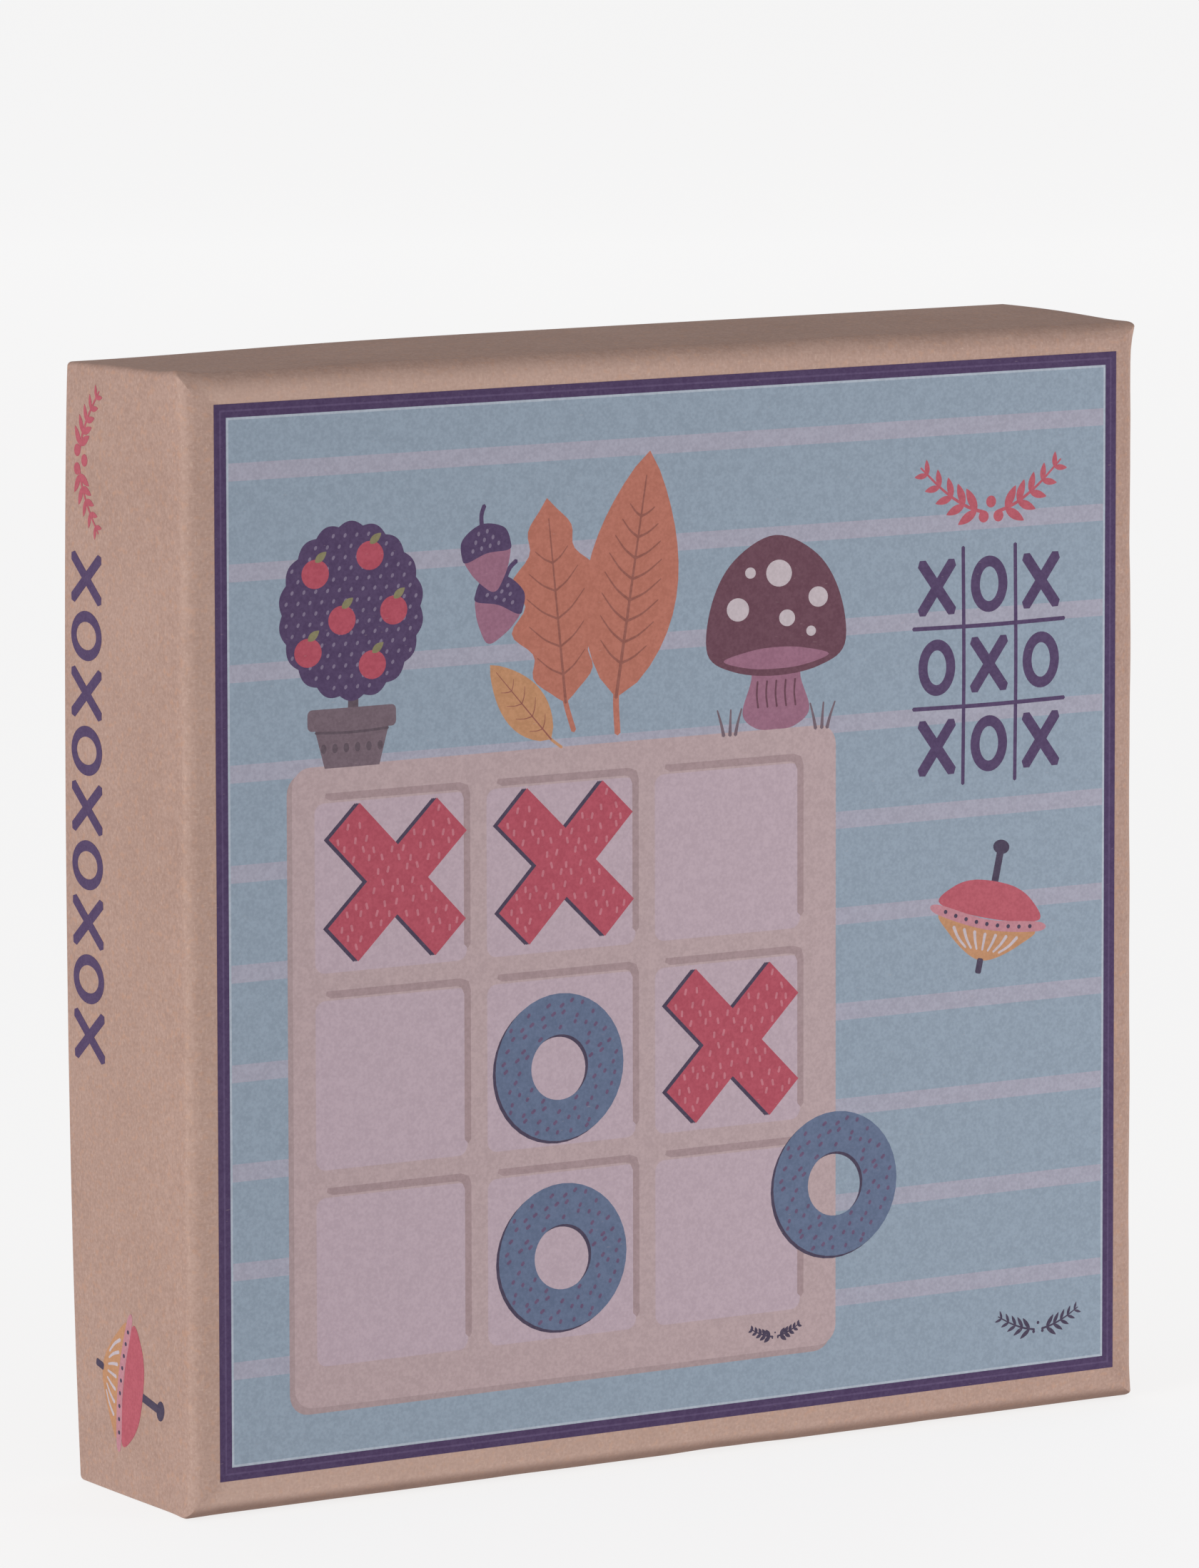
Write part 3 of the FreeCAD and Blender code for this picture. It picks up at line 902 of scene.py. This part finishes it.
# A toadstool in the grass.
front.ink("mauve", blob((116.0, 52.0), (126.4, 52.0), (126.6, 58.0), (128.6, 64.4), (125.2, 67.4),
                        (121, 67.8), (116.6, 67.4), (113.6, 64.4), (115.6, 58.0)))
for number in range(5):
    x = 117.0 + number * 2.1
    front.ink("maroon", pen([(x, 58.5), (x - 0.2, 61.0), (x + 0.1, 63.5)], 0.4))
front.ink("maroon", blob((105.8, 52.6), (106.8, 43.0), (111.8, 35.2), (121.0, 30.9), (130.4, 35.0),
                         (135.6, 43.0), (136.6, 52.6), (130.6, 56.4), (121.2, 57.6), (111.8, 56.4)))
front.ink("mauve", blob((109.4, 54.2), (115.6, 52.6), (121.2, 52.2), (127.0, 52.6), (133.0, 54.2),
                        (127.4, 55.9), (121.2, 56.3), (115.0, 55.9)))
cap_spots = ((112.6, 44.6, 2.5), (121.8, 38.2, 2.9), (130.6, 43.2, 2.2), (123.6, 46.8, 1.8),
             (115.4, 37.8, 1.2), (129.0, 49.6, 1.1))
for x, y, size in cap_spots:
    front.ink("white", oval(x, y, size, size * 0.88, 0.2, 28))
for x, lean in ((109.4, -1.4), (110.8, 0.2), (112.0, 1.4), (130.0, -1.2), (131.4, 0.4), (132.6, 1.8)):
    front.ink("taupe", pen([(x, 68.3), (x + lean * 0.4, 66.0), (x + lean, 63.4)], 0.8, 0.4))


def garland(sheet, ink, place, half_length, rise, weight, fullness=0.19):
    """Two leafy sprigs that curve up from three berries between them. Place says where."""
    for side in (-1, 1):
        stem = [(side * half_length * share, -rise * share ** 1.7) for share in (0.09, 0.35, 0.65, 0.97)]
        sheet.ink(ink, pen([place(x, y) for x, y in stem], weight, 0.5))
        for number in range(5):
            share = 0.20 + 0.17 * number
            base = (side * half_length * share, -rise * share ** 1.7)
            length = half_length * (0.30 - 0.03 * number)
            slope = math.atan2(rise * 1.7 * share ** 0.7, half_length)
            for spread in (-0.85, 0.75):
                way = slope + spread
                tip = (base[0] + side * length * math.cos(way), base[1] - length * math.sin(way))
                sheet.ink(ink, leaf_outline(place(*base), place(*tip), length * fullness))
    for x, y in ((0, -2.2), (-1.7, 0.6), (1.7, 0.6)):
        middle, rim = place(x, y), place(x + 6 * weight * fullness + 0.3, y)
        sheet.ink(ink, oval(*middle, math.dist(middle, rim), steps=16))


garland(front, "coral", lambda x, y: (170.0 + x, 29.6 + y), 16.6, 10.0, 0.75)


# A small pen-drawn game, crosses against rings, on its own four lines.
def pen_cross(sheet, across, down, half_width, half_height, weight):
    """An X of two pen strokes."""
    for side in (-1, 1):
        start = (across - half_width * side, down - half_height)
        end = (across + half_width * side, down + half_height)
        sheet.ink("plum", pen([start, (across, down), end], weight))


def pen_ring(sheet, across, down, half_width, half_height, weight):
    """An O of one pen stroke."""
    outside, inside = weight / 3, weight * 0.62
    sheet.ink("plum", oval(across, down, half_width + outside, half_height + outside),
              hole(oval(across, down, half_width - inside, half_height - inside)))


pen_marks = (pen_cross, pen_ring)
game_middle = (169.6, 58.6)
cell_width, cell_height = 12.0, 15.4
line_weight, line_sway = 0.8, 0.2
reach_across, reach_down = cell_width * 1.45, cell_height * 1.48
for number in range(9):
    column, row = number % 3 - 1, number // 3 - 1
    spot = (game_middle[0] + cell_width * column, game_middle[1] + cell_height * row)
    pen_marks[number % 2](front, *spot, 3.5, 4.7, 2.2)
for side in (-0.5, 0.5):
    x, y = game_middle
    line_x, line_y = x + cell_width * side, y + cell_height * side
    upright = [(line_x, y - reach_down), (line_x + line_sway, y), (line_x, y + reach_down)]
    level = [(x - reach_across, line_y), (x, line_y + line_sway), (x + reach_across, line_y)]
    front.ink("plum", pen(upright, line_weight))
    front.ink("plum", pen(level, line_weight))


def spinning_top(sheet, place):
    """A painted wooden spinning top with a turned handle. Place says where its points lie."""
    def ink(name, loop):
        sheet.ink(name, [place(x, y) for x, y in loop])
    ink("dark", rectangle(-0.8, -12.4, 0.8, -5.0, 0.5))
    ink("dark", oval(0, -12.6, 1.9, 1.4, steps=20))
    ink("coral", blob((-11.6, 0.2), (-9.4, -3.4), (-4.2, -5.6), (4.2, -5.6), (9.4, -3.4),
                      (11.6, 0.2), (0, 1.4)))
    ink("yellow", blob((-11.2, 2.2), (0, 3.6), (11.2, 2.2), (8.2, 5.6), (3.6, 8.6), (0, 9.6),
                       (-3.6, 8.6), (-8.2, 5.6)))
    ink("pink", blob((-12.2, 0.4), (0, 1.6), (12.2, 0.4), (12.2, 2.2), (0, 3.6), (-12.2, 2.2)))
    ink("dark", rectangle(-0.7, 9.2, 0.7, 12.2, 0.4))
    for number in range(-3, 4):
        stroke = [(number * 2.5, 4.4 - 0.1 * abs(number)), (number * 2.0, 6.0), (number * 1.3, 7.6)]
        ink("white", pen(stroke, 0.7, 0.6))
    for number in range(-4, 5):
        ink("dark", oval(number * 2.5, 2.5 - 0.06 * number ** 2, 0.42, steps=10))


top_lean = 0.22
spinning_top(front, lambda x, y: turned_to([(x, y)], 169.8, 106.6, top_lean)[0])

# Two small dark sprigs in the lower right corners of the ground and of the board.
garland(front, "dark", lambda x, y: (181.4 + 0.6 * x, 189.6 + 0.6 * y), 16.0, 6.0, 0.45, 0.09)
garland(front, "dark", lambda x, y: (120.9 + 0.36 * x, 184.6 + 0.36 * y), 16.0, 6.0, 0.40, 0.09)


def on_front(across, down):
    """Where a point of the layout lies, by the four corners of its border."""
    share_across, share_down = across / layout_side, down / layout_side
    above = top_left.lerp(top_right, share_across)
    below = bottom_left.lerp(bottom_right, share_across)
    spot = above.lerp(below, share_down)
    return Vector((spot.x, box_low.y - ink_lift, spot.y))


front_print = front.lay("front_print", inks, on_front, Vector((0, 2 * ink_lift, 0)))
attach(front_print, "lid")

# ---- Printed spine ------------------------------------------------------------------------------
# The left wall carries the same sprig, marks and top, turned to read downwards. It is laid out in
# millimetres from the wall's back top corner: towards the front, and down.

spine = Printing()
garland(spine, "coral", lambda x, y: (5.6 - y, 18.6 + x), 13.4, 8.0, 0.75)
for number in range(9):
    pen_marks[number % 2](spine, 8.7, 40.2 + 10.6 * number, 5.0, 3.9, 2.1)
spinning_top(spine, lambda x, y: turned_to([(x, y)], 20.6, 188.6, top_lean + math.pi / 2)[0])


def on_spine(forward, down):
    """Where a point of the layout lies on the settled wall."""
    forward, down = forward * millimetre, down * millimetre
    stray = settle(Vector((-box_width / 2, box_height / 2 - down)), 0, box_depth - forward)
    return Vector((box_low.x - ink_lift, box_high.y - forward, box_high.z - down)) + stray


spine_print = spine.lay("spine_print", inks, on_spine, Vector((2 * ink_lift, 0, 0)))
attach(spine_print, "lid")

# ---- Tray ---------------------------------------------------------------------------------------
# The tray is a shallow box of the same kraft board, a little less handled than the lid. Its rim
# shows the board's cut edge, which is paler and layered.

tray_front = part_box("tray")[0].y
cut_edge_reach = 0.25 * millimetre


def cut_rim(finish):
    """1 on the cut edges of the board that face the front, where the pulp is bare."""
    faces_front = finish.ramp(finish.facing("Y"), -0.90, -0.99)
    behind_rim = finish.along("Y") - tray_front
    at_rim = finish.ramp(behind_rim, 2 * cut_edge_reach, cut_edge_reach)
    layers = finish.cloud(0.5 * millimetre, 1, (5, 1, 5))
    return faces_front * at_rim * (1.6 + layers)


tray_dark = display(150, 120, 105)
tray_pale = display(176, 146, 131)
give_finish("tray", kraft("tray_kraft", tray_dark, tray_pale, cut_rim))

# ---- Insert -------------------------------------------------------------------------------------
# The raised platform in the tray is pressed from pale grey card. It holds the board, the leaflet
# and the spare ring. Pressing has rounded its rims and left its surface finely felted.

insert_low, insert_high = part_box("insert")


def pressed_card(name, dark, pale):
    """Moulded grey card: felted fibres, a few dark specks, and a little darker further back, towards the
    tray's floor.
    """
    finish = Finish(name, roughness=0.9, specular=0.2)
    clouds = finish.cloud(30 * millimetre, 3)
    felt = finish.cloud(1.1 * millimetre, 3)
    grain = finish.cloud(0.4 * millimetre, 1)
    colour = finish.mix(finish.ramp(0.3 * clouds + 0.3 * felt + 0.4 * grain, 0.34, 0.66), dark, pale)
    specks = finish.ramp(finish.cloud(0.8 * millimetre, 0), 0.73, 0.79)
    colour = finish.mix(specks * 0.5, colour, display(132, 120, 112))
    behind_rim = finish.ramp(finish.along("Y"), insert_low.y + 0.2 * millimetre, insert_high.y)
    colour = finish.mix(behind_rim * 0.25, colour, display(148, 138, 132))
    weave = finish.bump(0.6 * felt + 0.4 * grain, 0.16 * millimetre, 0.5)
    return finish.wear(Base_Color=colour, Roughness=0.80 + 0.14 * felt, Normal=weave)


give_finish("insert", pressed_card("insert_card", display(184, 178, 172), display(208, 203, 197)))

# ---- Leaflet ------------------------------------------------------------------------------------
# One long sheet of thin white paper, folded like a fan into a square of four layers. Its front
# shows how three in a row win, drawn as small games.

leaflet_low, leaflet_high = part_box("leaflet")
leaflet_middle = (leaflet_low + leaflet_high) / 2
sheet_thickness = 0.13 * millimetre
sheet_layers = 4
layer_pitch = (leaflet_high.y - leaflet_low.y - sheet_thickness) / (sheet_layers - 1)
bulge_steps = 5
edge_steps = 10

line = []
for layer in range(sheet_layers):
    depth = leaflet_low.y + sheet_thickness / 2 + layer_pitch * layer
    inner_left = leaflet_low.x + layer_pitch
    inner_right = leaflet_high.x - layer_pitch
    step_width = (inner_right - inner_left) / edge_steps
    run = [inner_left + step_width * step for step in range(edge_steps + 1)]
    if layer % 2:
        run.reverse()
    line.extend(Vector((across, depth)) for across in run)
    if layer < sheet_layers - 1:
        turn_middle = Vector((run[-1], depth + layer_pitch / 2))
        side = 1 if layer % 2 == 0 else -1
        for step in range(1, bulge_steps):
            angle = math.pi * step / bulge_steps
            reach = Vector((side * math.sin(angle) * 0.8, -math.cos(angle) / 2)) * layer_pitch
            line.append(turn_middle + reach)

sheet_form = bmesh.new()
strips = []
for number, point in enumerate(line):
    ahead = line[min(number + 1, len(line) - 1)] - line[max(number - 1, 0)]
    off = Vector((-ahead.y, ahead.x)).normalized() * sheet_thickness / 2
    strips.append([
        sheet_form.verts.new((spot.x, spot.y, level))
        for level in (leaflet_low.z, leaflet_high.z)
        for spot in (point + off, point - off)
    ])
for (a, b, c, d), (e, f, g, h) in zip(strips, strips[1:]):
    for face in ((a, b, f, e), (c, g, h, d), (a, e, g, c), (b, d, h, f)):
        sheet_form.faces.new(face)
first, last = strips[0], strips[-1]
sheet_form.faces.new((first[0], first[2], first[3], first[1]))
sheet_form.faces.new((last[0], last[1], last[3], last[2]))
bmesh.ops.recalc_face_normals(sheet_form, faces=sheet_form.faces[:])
sheet_mesh = bpy.data.meshes.new("leaflet_sheet")
sheet_form.to_mesh(sheet_mesh)
leaflet_sheet = new_piece("leaflet_sheet", sheet_mesh)


def thin_paper(name, tone, shade):
    """Uncoated white paper, faintly cloudy."""
    finish = Finish(name, roughness=0.7, specular=0.3)
    fibres = finish.cloud(0.5 * millimetre, 3)
    clouds = finish.cloud(9 * millimetre, 2)
    colour = finish.mix(finish.ramp(0.5 * fibres + 0.5 * clouds, 0.36, 0.64), shade, tone)
    return finish.wear(
        Base_Color=colour,
        Roughness=0.62 + 0.2 * fibres,
        Normal=finish.bump(0.7 * fibres + 0.3 * clouds, 0.05 * millimetre, 0.4),
    )


sheet_mesh.materials.append(thin_paper("leaflet_paper", display(232, 229, 222), display(218, 214, 206)))
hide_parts("leaflet")
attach(leaflet_sheet, "leaflet")

leaflet_side = 127
game_start, game_pitch = 35, 57
rule_reach, rule_pitch, rule_line = 21, 14, 1.1
wins = ((-1, 0, 1), (0, 0, 0), (1, 0, -1), (1, 1, 1))
rules = Printing()
for number, win in enumerate(wins):
    row, column = divmod(number, 2)
    x, y = game_start + game_pitch * column, game_start + game_pitch * row
    for side in (-rule_pitch / 2, rule_pitch / 2):
        line_x, line_y = x + side, y + side
        rules.ink("plum", pen([(line_x, y - rule_reach), (line_x, y + rule_reach)], rule_line))
        rules.ink("plum", pen([(x - rule_reach, line_y), (x + rule_reach, line_y)], rule_line))
    for place, level in zip((-1, 0, 1), win):
        spot = (x + rule_pitch * place, y + rule_pitch * level)
        if (row + column) % 2:
            rules.ink("blue", oval(*spot, 4.6), hole(oval(*spot, 2.2)))
        else:
            rules.ink("red", mark_cross(*spot, 9.2, 2.9))
rule_lift = 0.02 * millimetre
rule_share = 0.95


def on_leaflet(across, down):
    """Where a point of the layout lies on the leaflet's front, with a margin all round."""
    return Vector((
        leaflet_middle.x + (across - leaflet_side / 2) * rule_share * millimetre,
        leaflet_low.y - rule_lift,
        leaflet_middle.z - (down - leaflet_side / 2) * rule_share * millimetre,
    ))


leaflet_print = rules.lay("leaflet_print", inks, on_leaflet, Vector((0, 2 * rule_lift, 0)))
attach(leaflet_print, "leaflet")

# ---- Game board ---------------------------------------------------------------------------------
# Two layers of pale beech plywood, sanded and unpainted: a plain back, and a front cut through
# with nine square recesses. The grain of the faces runs across, and the edges show the plies.


def plywood(name, dark, pale, shift):
    """Sanded ply: soft grain and fine pores on the faces, plies with dark glue on the edges."""
    finish = Finish(name, roughness=0.55, specular=0.35)
    across, depth, level = finish.along("X"), finish.along("Y"), finish.along("Z")
    drift = finish.cloud(34 * millimetre, 2, (3, 1, 1))
    ring_pitch = 5.2 * millimetre
    wander = (level + shift) / ring_pitch + 5.0 * drift + 0.12 * across / ring_pitch
    rings = (wander * 3.0).wave()
    streaks = finish.cloud(1.1 * millimetre, 3, (14, 1, 1))
    fine = finish.cloud(0.32 * millimetre, 2, (12, 1, 1))
    tone = 0.5 + 0.16 * rings + 0.9 * (streaks - 0.5) + 0.5 * (fine - 0.5)
    face = finish.mix(finish.ramp(tone, 0.2, 0.8), dark, pale)
    pores = finish.ramp(finish.cloud(0.42 * millimetre, 0, (7, 1, 1)), 0.68, 0.76)
    face = finish.mix(pores * 0.45, face, display(128, 98, 78))
    ply = 1.35 * millimetre
    strata = depth / ply + 0.10 * finish.cloud(5 * millimetre, 1)
    within = strata - strata.whole()
    glue = finish.ramp(abs(within - 0.5), 0.44, 0.49)
    every_other = finish.ramp((strata.whole() * math.pi + math.pi / 2).wave(), -0.5, 0.5)
    end_grain = finish.cloud(0.25 * millimetre, 1)
    pale_ply = every_other * 0.7 + 0.3 * end_grain
    edge = finish.mix(pale_ply, display(150, 118, 94), display(196, 166, 138))
    edge = finish.mix(glue * 0.8, edge, display(104, 78, 62))
    on_face = finish.ramp(abs(finish.facing("Y")), 0.55, 0.80)
    colour = finish.mix(on_face, edge, face)
    rubbed = finish.edges(0.5 * millimetre)
    colour = finish.mix(rubbed * (0.25 + 0.4 * streaks), colour, display(168, 134, 110))
    height = 0.6 * streaks + 0.4 * fine - 0.5 * pores
    return finish.wear(
        Base_Color=colour,
        Roughness=0.48 + 0.22 * streaks + 0.1 * pores,
        Normal=finish.bump(height, 0.06 * millimetre, 0.5),
    )


back_shift = 11 * millimetre
back_ply = plywood("back_ply", display(200, 170, 146), display(224, 200, 180), back_shift)
grid_ply = plywood("grid_ply", display(190, 158, 134), display(216, 190, 168), 0)
give_finish("board_back", back_ply)
give_finish("board_grid", grid_ply)

# ---- Crosses ------------------------------------------------------------------------------------
# Five X pieces sawn from board. The faces are painted matt red with short pale dashes, and the
# sides are painted dark. Wood shows where the edges have been knocked.


def painted_piece(name, face_tone, dash_tone, dash):
    """Matt paint on a sawn piece: dashes on its faces, dark sides and rubbed edges."""
    finish = Finish(name, roughness=0.5, specular=0.4)
    across, level = finish.along("X"), finish.along("Z")
    brush = finish.cloud(0.7 * millimetre, 2, (1, 1, 8))
    mottle = finish.cloud(4 * millimetre, 2)
    deep = tuple(share * 0.90 for share in face_tone[:3]) + (1,)
    bright = tuple(share * 1.10 for share in face_tone[:3]) + (1,)
    paint = finish.mix(finish.ramp(0.5 * brush + 0.5 * mottle, 0.34, 0.66), deep, bright)
    row = (level / dash["pitch_up"]).whole()
    climb = level / dash["pitch_up"] - row - 0.5
    stray = finish.cloud(3.1 * millimetre, 0)
    along_row = across / dash["pitch_across"] + row * 0.382 + 1.1 * (stray - 0.5)
    along_row = along_row + climb * dash["lean"]
    beside = abs(along_row - along_row.whole() - 0.5) * dash["pitch_across"]
    above = abs(climb) * dash["pitch_up"]
    soft = 0.12 * millimetre
    in_width = finish.ramp(beside, dash["width"] / 2 + soft, dash["width"] / 2 - soft)
    in_length = finish.ramp(above, dash["length"] / 2 + soft, dash["length"] / 2 - soft)
    paint = finish.mix(in_width * in_length * 0.9, paint, dash_tone)
    side_grain = finish.cloud(0.5 * millimetre, 2, (1, 6, 1))
    side = finish.mix(side_grain, display(40, 36, 52), display(62, 55, 76))
    on_face = finish.ramp(abs(finish.facing("Y")), 0.70, 0.88)
    colour = finish.mix(on_face, side, paint)
    knocks = finish.ramp(finish.cloud(3.0 * millimetre, 3), 0.50, 0.64)
    bare = finish.edges(0.5 * millimetre) * knocks
    colour = finish.mix(bare * 0.8, colour, display(196, 160, 132))
    return finish.wear(
        Base_Color=colour,
        Roughness=0.46 + 0.16 * brush + 0.2 * bare,
        Normal=finish.bump(0.7 * brush + 0.3 * side_grain, 0.05 * millimetre, 0.45),
    )


cross_dash = {
    "pitch_across": 3.4 * millimetre,
    "pitch_up": 2.3 * millimetre,
    "width": 0.55 * millimetre,
    "length": 1.3 * millimetre,
    "lean": 0.10,
}
red_paint = painted_piece("cross_paint", display(192, 62, 74), display(226, 142, 150), cross_dash)
for number in range(5):
    give_finish(f"cross_{number + 1}", red_paint)

# ---- Rings --------------------------------------------------------------------------------------
# Five O pieces turned and bored from the same board. The faces are painted matt blue with short
# dark leaning dashes, and the sides dark. Four lie on the board and one in the insert's well.

ring_dash = {
    "pitch_across": 3.1 * millimetre,
    "pitch_up": 2.2 * millimetre,
    "width": 0.75 * millimetre,
    "length": 1.0 * millimetre,
    "lean": -0.22,
}
blue_paint = painted_piece("ring_paint", display(84, 112, 154), display(66, 46, 76), ring_dash)
for number in range(5):
    give_finish(f"ring_{number + 1}", blue_paint)
